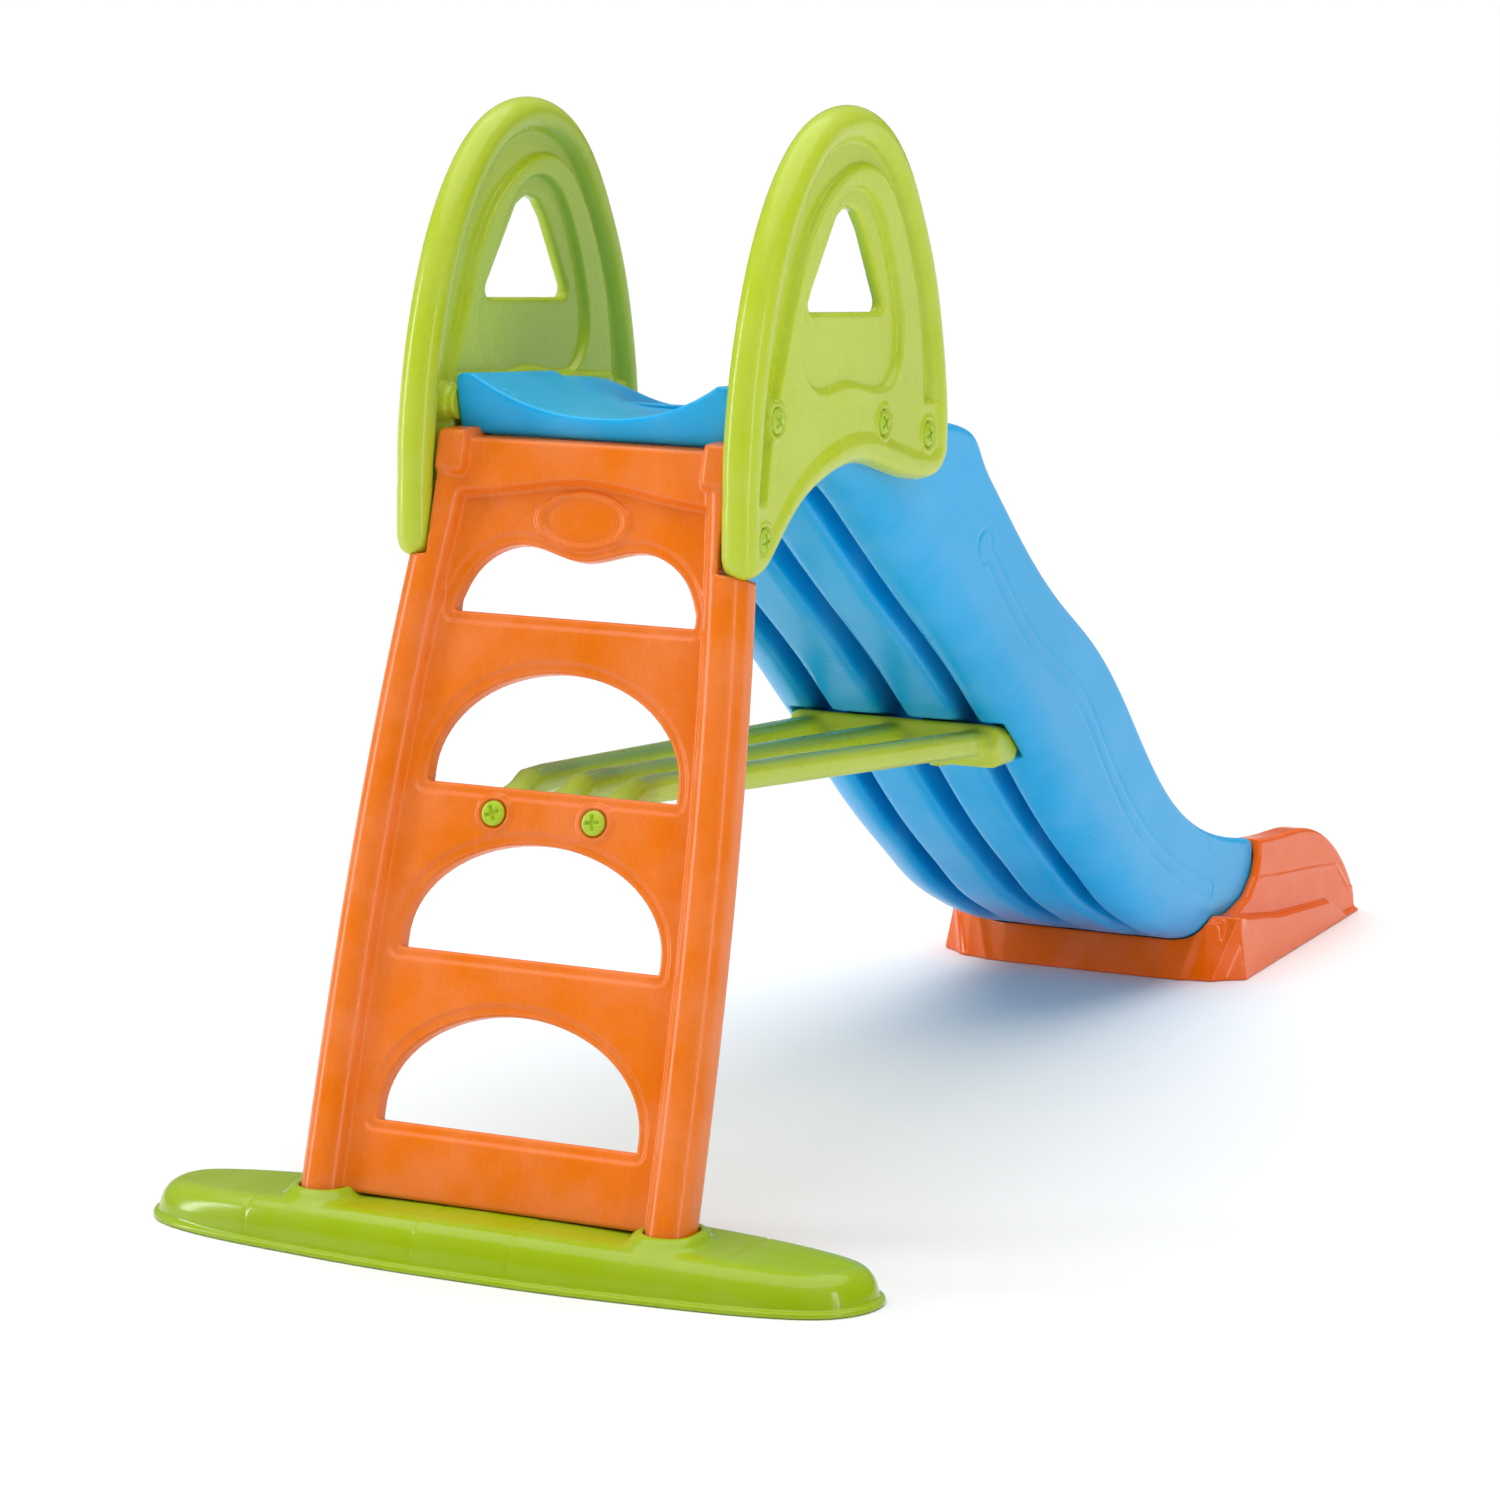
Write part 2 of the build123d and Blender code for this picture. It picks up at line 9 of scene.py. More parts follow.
import bpy
import numpy as np
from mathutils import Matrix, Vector


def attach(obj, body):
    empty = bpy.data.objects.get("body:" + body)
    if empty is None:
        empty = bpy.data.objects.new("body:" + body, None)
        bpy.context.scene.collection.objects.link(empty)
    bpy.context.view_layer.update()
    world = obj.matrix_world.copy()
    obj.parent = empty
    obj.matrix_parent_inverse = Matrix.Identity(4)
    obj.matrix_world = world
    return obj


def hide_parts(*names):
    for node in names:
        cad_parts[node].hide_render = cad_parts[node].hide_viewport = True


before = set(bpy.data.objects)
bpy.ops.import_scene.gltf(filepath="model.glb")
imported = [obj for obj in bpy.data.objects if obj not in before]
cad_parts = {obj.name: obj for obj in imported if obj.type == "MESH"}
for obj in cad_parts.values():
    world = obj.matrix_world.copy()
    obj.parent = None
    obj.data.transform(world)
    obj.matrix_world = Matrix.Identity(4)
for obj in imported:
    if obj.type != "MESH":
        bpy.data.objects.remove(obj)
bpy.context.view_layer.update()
MM = 0.001
FINE = 1.0


# ---------------------------------------------------------------- distance fields
def blend_min(a, b, k):
    """Union of two fields with a fillet about k wide."""
    h = np.clip(0.5 + 0.5 * (b - a) / k, 0, 1)
    return b + (a - b) * h - k * h * (1 - h)


def blend_max(a, b, k):
    """Intersection of two fields with a rounding about k wide."""
    return -blend_min(-a, -b, k)


def step_up(x, low, high):
    """Smooth 0 to 1 as x goes from low to high."""
    t = np.clip((x - low) / (high - low), 0, 1)
    return t * t * (3 - 2 * t)


def rounded_box(dx, dy, half_x, half_y, radius):
    """Distance to a rectangle with round corners, from its middle."""
    qx = np.abs(dx) - half_x + radius
    qy = np.abs(dy) - half_y + radius
    outside = np.hypot(np.maximum(qx, 0), np.maximum(qy, 0))
    return outside + np.minimum(np.maximum(qx, qy), 0) - radius


def smooth_curve(points, count=160):
    """Points along the cubic spline through a few chosen ones."""
    p = np.array(points, float)
    chord = np.hypot(*np.diff(p, axis=0).T)
    t = np.concatenate([[0], np.cumsum(chord)])
    n = len(p)
    system = np.zeros((n, n))
    right = np.zeros((n, 2))
    system[0, 0] = system[-1, -1] = 1
    for i in range(1, n - 1):
        system[i, i - 1 : i + 2] = chord[i - 1], 2 * (chord[i - 1] + chord[i]), chord[i]
        right[i] = 6 * ((p[i + 1] - p[i]) / chord[i] - (p[i] - p[i - 1]) / chord[i - 1])
    bend = np.linalg.solve(system, right)
    s = np.linspace(0, t[-1], count)
    i = np.clip(np.searchsorted(t, s, side="right") - 1, 0, n - 2)
    h = chord[i][:, None]
    a = (t[i + 1] - s)[:, None]
    b = (s - t[i])[:, None]
    return (
        bend[i] * a**3 / (6 * h)
        + bend[i + 1] * b**3 / (6 * h)
        + (p[i] / h - bend[i] * h / 6) * a
        + (p[i + 1] / h - bend[i + 1] * h / 6) * b
    )


def outline_distance(loop, x, y):
    """Signed distance, negative inside, from the grid x by y to a closed loop of points."""
    nearest = np.full(np.broadcast_shapes(x.shape, y.shape), 1e12)
    inside = np.zeros(nearest.shape, bool)
    loop = np.asarray(loop, float)
    for (ax, ay), (bx, by) in zip(loop, np.roll(loop, -1, axis=0), strict=True):
        ex, ey = bx - ax, by - ay
        length2 = ex * ex + ey * ey
        if length2 < 1e-9:
            continue
        t = np.clip(((x - ax) * ex + (y - ay) * ey) / length2, 0, 1)
        nearest = np.minimum(nearest, (x - ax - t * ex) ** 2 + (y - ay - t * ey) ** 2)
        if abs(ey) > 1e-9:
            crosses = (ay > y) != (by > y)
            inside ^= crosses & (x < ax + (y - ay) * ex / ey)
    return np.where(inside, -1, 1) * np.sqrt(nearest)


def from_side(loop, x, z):
    """Distance to a loop drawn in x and z, the same at every y."""
    return outline_distance(loop, x[:, 0, :], z[:, 0, :])[:, None, :]


def rounded_from_side(loop, radius, x, z):
    """The same for a convex loop, given anticlockwise, with its corners rounded."""
    p = np.array(loop, float)
    edge = np.roll(p, -1, axis=0) - p
    normal = np.stack([-edge[:, 1], edge[:, 0]], 1) / np.hypot(*edge.T)[:, None]
    before = np.roll(normal, 1, axis=0)
    shift = (normal + before) / (1 + (normal * before).sum(1))[:, None]
    return from_side(p + radius * shift, x, z) - radius


def from_above(loop, x, y):
    """Distance to a loop drawn in x and y, the same at every z."""
    return outline_distance(loop, x[:, :, 0], y[:, :, 0])[:, :, None]


def axes(low, high, step):
    """Grid coordinates along x, y and z, shaped to broadcast, and the step between them."""
    step *= FINE
    ends = zip(low, high, strict=True)
    spans = [np.arange(a - 2 * step, b + 3 * step, step, dtype=np.float32) for a, b in ends]
    x, y, z = np.meshgrid(*spans, indexing="ij", sparse=True)
    return x, y, z, step


# ---------------------------------------------------------------- field to mesh
CORNERS = [(i, j, k) for i in (0, 1) for j in (0, 1) for k in (0, 1)]
CELL_EDGES = [
    (a, b)
    for a in range(8)
    for b in range(a + 1, 8)
    if sum(abs(CORNERS[a][n] - CORNERS[b][n]) for n in range(3)) == 1
]


def interpolate(field, place):
    """Trilinear value of the field at grid places (n by 3)."""
    top = np.array(field.shape) - 1.001
    place = np.clip(place, 0, top)
    base = place.astype(int)
    part = place - base
    value = np.zeros(len(place))
    for i, j, k in CORNERS:
        weight = (
            (part[:, 0] if i else 1 - part[:, 0])
            * (part[:, 1] if j else 1 - part[:, 1])
            * (part[:, 2] if k else 1 - part[:, 2])
        )
        value += weight * field[base[:, 0] + i, base[:, 1] + j, base[:, 2] + k]
    return value


def slope(field, place):
    """Gradient of the field per grid step at grid places."""
    shift = np.eye(3) * 0.75
    return np.stack([interpolate(field, place + s) - interpolate(field, place - s) for s in shift], 1) / 1.5


def surface(field):
    """Vertices (in grid steps), quads and outward normals of the field's zero surface."""
    inside = field < 0
    cells = tuple(n - 1 for n in field.shape)
    count = sum(
        inside[i : cells[0] + i, j : cells[1] + j, k : cells[2] + k].astype(np.int8) for i, j, k in CORNERS
    )
    mixed = (count > 0) & (count < 8)
    where = np.argwhere(mixed)
    number = np.full(cells, -1, np.int64)
    number[mixed] = np.arange(len(where))
    values = np.stack([field[tuple((where + c).T)] for c in CORNERS], 1)
    total = np.zeros((len(where), 3))
    crossings = np.zeros(len(where))
    for a, b in CELL_EDGES:
        fa, fb = values[:, a], values[:, b]
        cut = (fa < 0) != (fb < 0)
        t = np.where(cut, fa / np.where(cut, fa - fb, 1), 0)[:, None]
        ca, cb = np.array(CORNERS[a]), np.array(CORNERS[b])
        total += np.where(cut[:, None], ca + t * (cb - ca), 0)
        crossings += cut
    place = where + total / crossings[:, None]
    quads = []
    for axis in range(3):
        other = [n for n in range(3) if n != axis]
        first = np.take(inside, range(inside.shape[axis] - 1), axis)
        second = np.take(inside, range(1, inside.shape[axis]), axis)
        at = np.argwhere(first != second)
        at = at[(at[:, other[0]] > 0) & (at[:, other[1]] > 0)]
        at = at[(at[:, other[0]] < cells[other[0]]) & (at[:, other[1]] < cells[other[1]])]
        e0, e1 = np.eye(3, dtype=int)[other[0]], np.eye(3, dtype=int)[other[1]]
        ring = [at - e0 - e1, at - e1, at, at - e0]
        quad = np.stack([number[tuple(r.T)] for r in ring], 1)
        filled = inside[tuple(at.T)]
        flip = filled if axis != 1 else ~filled
        quad[~flip] = quad[~flip][:, ::-1]
        quads.append(quad)
    for _ in range(2):
        steep = slope(field, place)
        away = interpolate(field, place)
        move = away[:, None] * steep / np.maximum((steep**2).sum(1), 1e-9)[:, None]
        place = place - np.clip(move, -0.6, 0.6)
    normal = slope(field, place)
    normal /= np.maximum(np.linalg.norm(normal, axis=1), 1e-9)[:, None]
    return place, np.concatenate(quads), normal


def new_mesh(name, points, faces, normals=None):
    """A smooth mesh object in metres, with the field's own normals when given."""
    mesh = bpy.data.meshes.new(name)
    mesh.vertices.add(len(points))
    mesh.vertices.foreach_set("co", np.ascontiguousarray(points, np.float32).ravel())
    mesh.loops.add(faces.size)
    mesh.loops.foreach_set("vertex_index", np.ascontiguousarray(faces, np.int32).ravel())
    mesh.polygons.add(len(faces))
    mesh.polygons.foreach_set("loop_start", np.arange(len(faces), dtype=np.int32) * faces.shape[1])
    mesh.update(calc_edges=True)
    mesh.validate()
    mesh.polygons.foreach_set("use_smooth", np.ones(len(mesh.polygons), bool))
    if normals is not None:
        mesh.normals_split_custom_set_from_vertices([tuple(n) for n in normals])
    piece = bpy.data.objects.new(name, mesh)
    bpy.context.scene.collection.objects.link(piece)
    return piece


def corner_of(grid):
    """The lowest corner of a grid."""
    return np.array([along.flat[0] for along in grid])


def mould(name, node, material, field, grid, step, turn=None):
    """The mesh of a field, as a piece that stands for a CAD node."""
    place, faces, normal = surface(np.asarray(field, np.float32))
    points = corner_of(grid) + place * step
    if turn is not None:
        matrix, shift = turn
        points = points @ matrix.T + shift
        normal = normal @ matrix.T
    piece = new_mesh(name, points * MM, faces, normal)
    finish(piece, node, material)
    return piece


def finish(piece, node, material):
    """Material, body and CAD node of a piece."""
    piece.data.materials.append(material)
    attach(piece, "root")
    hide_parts(node)


# ---------------------------------------------------------------- driving dimensions, in millimetres
LADDER_X = -1096.9
LEAN_SLOPE = 0.2918
LEAN = atan(LEAN_SLOPE)
RAIL_FOOT_HALF, RAIL_TAPER, RAIL_TAPER_POWER = 254.0, 50.0, 2.6
RAIL_HALF_WIDTH = 27.0
WEB_FRONT = 16.5
WEB_BACK = 14.0
STEP_Z = (140.0, 334.0, 521.5, 714.5)
STEP_HALF = (171.0, 170.0, 164.0, 158.0)
STEP_RISE = (130.0, 127.0, 131.0)
OPENING_SIDE = 14.0  # upright part of an opening's sides
LADDER_TOP = 914.0
NECK_Z, NECK_HALF = 772.0, 190.5  # the rails are cut narrower above this, between the handrails
OVAL_S, OVAL_HALF = 858.0, (60.0, 33.0)  # the plain oval's middle up the slope, and half sizes
BROW_S = 884.0  # the web stands forward above this
KNOB_U, KNOB_S = 178.0, 932.0  # middle of each knob
LADDER_SCREWS = (66.0, 491.0)  # y to each side, and z
PANEL_Y = 214.0
CHUTE_HALF = 188.0
BAR_X, BAR_Z, BAR_HALF = -9.0, 441.0, 152.0
BAR_SECTION = [(-46, -2), (-30, 28), (16, 20), (47, -10), (30, -31), (-26, -30)]
BRACE_NARROW, BRACE_SPREAD = 66.0, 122.0
BOSS_EDGE, POCKET_EDGE = (21, 24), (16, 18.5)  # rings round a screw, where a boss and its pocket end
HANDRAIL_SCREWS = ((-834, 952), (-553, 922), (-429, 895), (-866, 818))  # x, z
SEAT_REAR, SEAT_FRONT, SEAT_HALF, SEAT_FLOOR = -849.5, -646.0, 184.0, 917.0

WALL_TOP = [(-640, 966), (-520, 952), (-400, 918), (-300, 896), (-221, 880), (-188, 864), (-166, 836),
            (-122, 790), (-37, 712), (80, 622), (194, 550), (275, 484), (359, 398), (479, 288), (586, 229),
            (697, 194), (786, 176)]
SLIDE = [(-640, 940), (-560, 926), (-450, 862), (-300, 750), (-120, 628), (13, 540), (143, 430),
         (250, 345), (361, 265), (525, 170), (650, 118), (786, 92)]
RIB_BOTTOM = [(-640, 872), (-560, 852), (-450, 782), (-300, 668), (-120, 536), (-60, 486), (13, 425),
              (97, 349), (220, 250), (291, 200), (359, 153), (430, 117), (500, 88), (620, 55), (786, 44)]
CHUTE_START, CHUTE_END = -646.6, 786.0
RIB_CHANNELS = ((-107, 14), (0, 17), (107, 14))  # y and half width of each, beneath
CHANNEL = [(-164, 723), (-97, 655), (6, 567), (149, 480), (223, 400), (325, 295), (456, 202), (618, 131)]


# ---------------------------------------------------------------- ladder
ladder_turn = (
    np.array([[0, sin(LEAN), -cos(LEAN)], [-1, 0, 0], [0, cos(LEAN), sin(LEAN)]]),
    np.array([LADDER_X, 0, 0]),
)


def ladder_x(z):
    """x of the ladder's middle plane at a height."""
    return LADDER_X + LEAN_SLOPE * z


def rail_half(z):
    """Outside half width of the ladder at a height."""
    return RAIL_FOOT_HALF - RAIL_TAPER * (np.clip(z, 0, None) / LADDER_TOP) ** RAIL_TAPER_POWER


def arch(half, low, rise):
    """A stepping opening: flat below, with upright sides and a half ellipse above."""
    angle = np.linspace(0, pi, 40)
    over = np.stack([half * np.cos(angle), low + OPENING_SIDE + (rise - OPENING_SIDE) * np.sin(angle)], 1)
    return np.concatenate([[(half, low)], over, [(-half, low)]])


def waved_arch(half, low):
    """The top opening, whose head dips in the middle."""
    right = [(half, OPENING_SIDE), (half * 0.9, 48), (78, 82)]
    left = [(-u, rise) for u, rise in reversed(right)]
    head = smooth_curve([(u, low + rise) for u, rise in [*right, (0, 67), *left]], 60)
    return np.concatenate([[(half, low)], head, [(-half, low)]])


def ladder(material):
    """The leaning panel: fat rails, a recessed web with four openings, knobs and a plain oval."""
    u, s, w, step = axes((-262, 14, -28), (262, 968, 50), 2.5)
    z = s * cos(LEAN)
    wide = np.abs(u)
    rail_centre = rail_half(z) - RAIL_HALF_WIDTH
    rail = rounded_box(wide - rail_centre, w - 8, RAIL_HALF_WIDTH, 32, 26)
    rail = blend_max(rail, s - 915, 6)
    openings = [arch(STEP_HALF[n], STEP_Z[n] / cos(LEAN), STEP_RISE[n] / cos(LEAN)) for n in range(3)]
    openings.append(waved_arch(STEP_HALF[3], STEP_Z[3] / cos(LEAN)))
    hole = np.minimum.reduce([from_above(loop, u, s) for loop in openings])
    brow = BROW_S + 17 * np.exp(-((u / 95) ** 2)) - 4 * (wide / 160) ** 2
    front = WEB_FRONT + 14 * step_up(s - brow, -4, 4)
    front = front - 3.5 * (1 - step_up(hole, 11, 15))
    oval = np.hypot(u / OVAL_HALF[0], (s - OVAL_S) / OVAL_HALF[1])
    front = front + 3.8 * step_up(oval, 0.84, 0.9) * (1 - step_up(oval, 1.0, 1.08))
    front = front + 1.2 * (1 - step_up(oval, 0.6, 0.78))
    around_screw = np.hypot(wide - LADDER_SCREWS[0], s - LADDER_SCREWS[1] / cos(LEAN))
    front = front + 3.5 * (1 - step_up(around_screw, *BOSS_EDGE))
    front = front - 3.5 * (1 - step_up(around_screw, *POCKET_EDGE))
    back = WEB_BACK - 3 * (1 - step_up(hole, 10, 16))
    web = blend_max(np.maximum(w - front, -w - back), wide - rail_centre, 2)
    web = blend_max(web, 58 - s, 6)
    body = blend_min(rail, web, 5)
    body = blend_max(body, -hole, 5)
    knob = rounded_box(wide - KNOB_U, w - 12, 24, 35, 13)
    knob = blend_max(knob, np.abs(s - KNOB_S) - 32, 14)
    body = blend_min(body, knob, 4)
    body = blend_max(body, 20 - s, 3)
    seat_floor = (s * cos(LEAN) + w * sin(LEAN)) - (SEAT_FLOOR - 1)
    body = blend_max(body, np.where(wide < 157, seat_floor, seat_floor - 10), 5)
    body = blend_max(body, np.where(z > NECK_Z, wide - NECK_HALF, -50), 3)
    return mould("ladder_panel", "ladder", material, body, (u, s, w), step, ladder_turn)


# ---------------------------------------------------------------- foot bar
FOOT_PLAN = [(-1182, 0), (-1180, 120), (-1168, 260), (-1145, 395), (-1122, 443), (-1086, 469), (-1045, 473),
             (-1012, 453), (-992, 400), (-982, 250), (-978, 0)]  # x and y of one half
FOOT_CROWN = 58.0
FOOT_SEAMS = (-62, 66, 300, -312)  # y of faint moulding marks


def foot_bar(material):
    """A blunt boat-shaped bar, hollow beneath, with a flat lip and a raised collar round each leg."""
    x, y, z, step = axes((-1183, -475, 0), (-976, 475, 80), 2.3)
    half = smooth_curve(FOOT_PLAN, 110)
    plan = np.concatenate([half, half[-2:0:-1] * (1, -1)])
    edge = from_above(plan, x, y)
    crown = FOOT_CROWN - 17 * (y / 474) ** 2
    body = blend_max(edge + 6 + 0.16 * z, z - crown, 30)
    lip = blend_max(edge + 0.5, z - 7, 3)
    body = blend_min(body, lip, 3)
    leg_x = ladder_x(z) - 8
    legs = rounded_box(x - leg_x, np.abs(y) - (RAIL_FOOT_HALF - RAIL_HALF_WIDTH), 35.0, 28.5, 26)
    collar = blend_max(legs - 11, z - 66, 10)
    body = blend_min(body, collar, 14)
    body = blend_max(body, -legs, 3)
    seam = np.minimum.reduce([np.abs(y - at) for at in FOOT_SEAMS])
    body = body + 0.7 * (1 - step_up(seam, 0.5, 3.5)) * (z > 12)
    hollow = np.maximum(edge + 40, z - (crown - 20))
    body = np.maximum(body, -np.maximum(hollow, 14 - legs))
    body = np.maximum(body, -z)
    return mould("foot_bar_shell", "foot_bar", material, body, (x, y, z), step)


# ---------------------------------------------------------------- seat
def seat(material):
    """The saddle: two horns at the back, and a top that sags between them and falls forwards."""
    x, y, z, step = axes((-852, -186, 912), (-644, 186, 992), 2.0)
    wide = np.abs(y)
    forward = (x - SEAT_REAR) / (SEAT_FRONT - SEAT_REAR)
    horn = 43 * np.clip(wide / 158, 0, 1.02) ** 2.3
    top = 945 + horn - 9 * forward - 8 * forward * (wide / 170) ** 3
    upper = (z - top) * 0.88
    sides = blend_max(wide - SEAT_HALF, SEAT_FLOOR - z, 8)
    body = blend_max(sides, upper, 12)
    body = blend_max(body, -843 - x - 0.2 * (z - 950), 7)  # the rear face leans back
    body = blend_max(body, x + 647, 5)
    return mould("seat_saddle", "seat", material, body, (x, y, z), step)


# ---------------------------------------------------------------- handrails
RIM = [(-914, 800), (-912, 868), (-899, 976), (-876, 1062), (-838, 1150), (-784, 1225), (-714, 1279),
       (-630, 1299), (-552, 1283), (-495, 1243), (-443, 1170), (-404, 1088), (-380, 1000),
       (-368, 905), (-368, 866)]
SKIRT = [(-368, 866), (-385, 846), (-440, 839), (-530, 860), (-610, 878), (-700, 869), (-775, 841),
         (-830, 800), (-870, 776), (-905, 780), (-914, 800)]
FIELD_EDGE = [(-862, 862), (-843, 935), (-824, 990), (-800, 1045), (-771, 1108), (-728, 1170), (-668, 1212),
              (-611, 1228), (-556, 1218), (-512, 1178), (-476, 1116), (-450, 1042), (-437, 936)]
WINDOW = [(-744, 1068), (-531, 1051), (-587, 1150), (-608, 1174), (-634, 1182), (-660, 1172)]
WINDOW_CORNER = 10.0
WINDOW_FRAME = [(-764, 1060), (-757, 1000), (-727, 977), (-648, 976), (-567, 962), (-528, 967),
                (-504, 995), (-506, 1060), (-532, 1130), (-570, 1185), (-600, 1202), (-648, 1200),
                (-720, 1128), (-764, 1060)]
PLATE, RECESS, VALLEY, SKIRT_PLATE = 16.5, 8.0, 10.0, 18.0  # half thicknesses of the panel
RIM_RADIUS = 21.0
SEAT_REACH, CHUTE_REACH = 29.2, 24.8  # how far the inner pads stand in, to the seat's side and the chute's


def handrail(side, material):
    """One arched panel: a round rim, a stepped field and a framed three-cornered window."""
    span = sorted((side * (PANEL_Y - 31), side * (PANEL_Y + 26)))
    x, y, z, step = axes((-918, span[0], 772), (-364, span[1], 1302), 2.2)
    across = side * y - PANEL_Y
    outside = from_side(np.concatenate([smooth_curve(RIM, 120), smooth_curve(SKIRT, 90)]), x, z)
    field = from_side(np.concatenate([smooth_curve(FIELD_EDGE, 90), [(-437, 700), (-862, 700)]]), x, z)
    frame_line = from_side(smooth_curve(WINDOW_FRAME, 90), x, z)
    window = rounded_from_side(WINDOW, WINDOW_CORNER, x, z)
    fade = step_up(z, 850, 925)
    valley_end = np.where(x < -650, 864, 938)
    valley = step_up(field, -1.6, 1.6) * step_up(z, valley_end - 5, valley_end)
    plate = PLATE - RECESS * step_up(-frame_line, -2.5, 2.5)
    thick = plate * fade + SKIRT_PLATE * (1 - fade) - VALLEY * valley
    inner_shelf = 5 * (1 - step_up(z + 0.09 * (x + 834), 982, 988)) * step_up(-field, 4, 8)
    thick = thick + np.where(across < 0, inner_shelf, 0)
    for sx, sz in HANDRAIL_SCREWS:
        ring = np.hypot(x - sx, z - sz)
        boss = 1 - step_up(ring, *BOSS_EDGE)
        thick = thick * (1 - boss) + 19.5 * boss
        thick = thick - np.where(across > 0, 4.5 * (1 - step_up(ring, *POCKET_EDGE)), 0)
    tube = np.hypot(outside + RIM_RADIUS, across * 0.93) - RIM_RADIUS + 1.5 * (1 - fade)
    body = blend_min(tube, blend_max(np.abs(across) - thick, outside + 6, 12), 4)
    body = blend_max(body, -window, 7)
    body = blend_max(body, np.abs(across) - 23.0, 3)
    pads = np.minimum.reduce([np.hypot(x - sx, z - sz) - 19 for sx, sz in HANDRAIL_SCREWS[:3]])
    reach = np.where(x < -700, SEAT_REACH, CHUTE_REACH)
    body = blend_min(body, np.maximum(pads, np.maximum(-across - reach, across)), 2)
    name = "handrail_left" if side > 0 else "handrail_right"
    return mould(name + "_panel", name, material, body, (x, y, z), step)


# ---------------------------------------------------------------- chute
def chute_outside(x, y, z):
    """The chute as if its trough were filled: rounded rolls beneath, with deep channels between."""
    wide = np.abs(y)

    def under(points):
        """Distance to the ground below a curve."""
        line = [[(-700, points[0][1])], smooth_curve(points), [(1200, -400), (-1000, -400)]]
        return from_side(np.concatenate(line), x, z)

    top, slide, rib = under(WALL_TOP), under(SLIDE), -under(RIB_BOTTOM)
    outer = blend_max(rib, wide - CHUTE_HALF, 62)
    for centre, half in RIB_CHANNELS:
        depth = 24 + 66 * step_up(x, 430, 640)
        channel = blend_max(np.abs(y - centre) - half - 0.08 * np.clip(-rib, -40, 0), slide + depth, 8)
        outer = blend_max(outer, -channel, 16)
    outer = blend_max(outer, top, 12)
    line = smooth_curve(CHANNEL, 60)
    there = np.concatenate([line, line[::-1] + 0.01])
    bulb = np.hypot(x - CHANNEL[0][0], z - CHANNEL[0][1])
    near = np.minimum(np.abs(from_side(there, x, z)) - 11, bulb - 21)
    outer = outer + 1.3 * (1 - step_up(np.abs(near), 1, 4.5)) * step_up(wide, 150, 170)
    return blend_max(outer, x - CHUTE_END, 8), slide


def chute(material):
    """The trough: waved walls rolled under into ribs."""
    x, y, z, step = axes((-649, -189, 40), (CHUTE_END + 1, 189, 970), 2.8)
    outer, slide = chute_outside(x, y, z)
    trough = blend_max(-slide, np.abs(y) - (150 + 16 * np.clip(slide / 110, 0, 1)), 60)
    body = blend_max(outer, -trough, 11)
    body = blend_max(body, CHUTE_START - x, 3)
    around_bar = from_side([(BAR_X + 1.05 * a, BAR_Z + 1.05 * b) for a, b in BAR_SECTION], x, z) - 2
    body = blend_max(body, -np.maximum(around_bar, np.abs(y) - BAR_HALF - 3), 3)
    return mould("chute_trough", "chute", material, body, (x, y, z), step)


# ---------------------------------------------------------------- brace
def brace(material):
    """A six-sided cross bar with domed ends, and three bars fanning out to it from the tread."""
    start = ladder_x(LADDER_SCREWS[1]) + WEB_BACK / cos(LEAN)
    x, y, z, step = axes((start - 12, -154, 396), (BAR_X + 48, 154, 536), 2.4)
    section = rounded_from_side([(BAR_X + a, BAR_Z + b) for a, b in reversed(BAR_SECTION)], 9, x, z)
    body = blend_max(section, np.abs(y) - BAR_HALF, 16)
    along = [start - 12, start + 10, start + 60, start + 110, BAR_X - 20]
    height = np.interp(x, along, [494, 502, 519, 517, 447])
    spread = np.interp(x, [start, start + 60, BAR_X - 20], [1.0, 1.08, BRACE_SPREAD / BRACE_NARROW])
    for side in (-1, 0, 1):
        bar = rounded_box(y - side * BRACE_NARROW * spread, z - height + 3, 17, 16.5, 13)
        bar = blend_max(bar, x - (BAR_X - 18), 4)
        body = blend_min(body, bar, 10)
    lean = (x - LADDER_X - LEAN_SLOPE * z) * cos(LEAN) - WEB_BACK
    pad = rounded_box(y, z - LADDER_SCREWS[1], BRACE_NARROW + 22, 25, 9)
    pad = blend_max(pad, lean - 20, 6)
    body = blend_min(body, pad, 8)
    body = np.maximum(body, 0.5 - lean)
    return mould("brace_bars", "brace", material, body, (x, y, z), step)


# ---------------------------------------------------------------- exit piece
EXIT_TOP = [(786, 176), (870, 168), (970, 160), (1045, 138), (1105, 102), (1150, 56), (1182, 2)]
EXIT_SLIDE = [(560, 88), (768, 88), (900, 76), (1050, 62), (1140, 30), (1174, 1)]
EXIT_SHOULDER = [(590, 78), (680, 86), (737, 101), (768, 124), (782, 148), (786, 176)]
EXIT_PLAN = [(642, -237), (608, -186), (597, -122), (595, 122), (608, 186), (642, 237),
             (1168, 214), (1168, -214)]
EXIT_TIP = 1182.0
EXIT_BEAD = [(768, 121), (860, 109), (980, 96), (1091, 82), (1143, 37)]  # x and z of the raised line
EXIT_SHELF = [(595, 92), (640, 90), (713, 77), (828, 58), (1042, 38), (1110, 4)]  # x and z of the base's top
EXIT_FOLDS = (150, 196)  # y of the creases at the rear corners


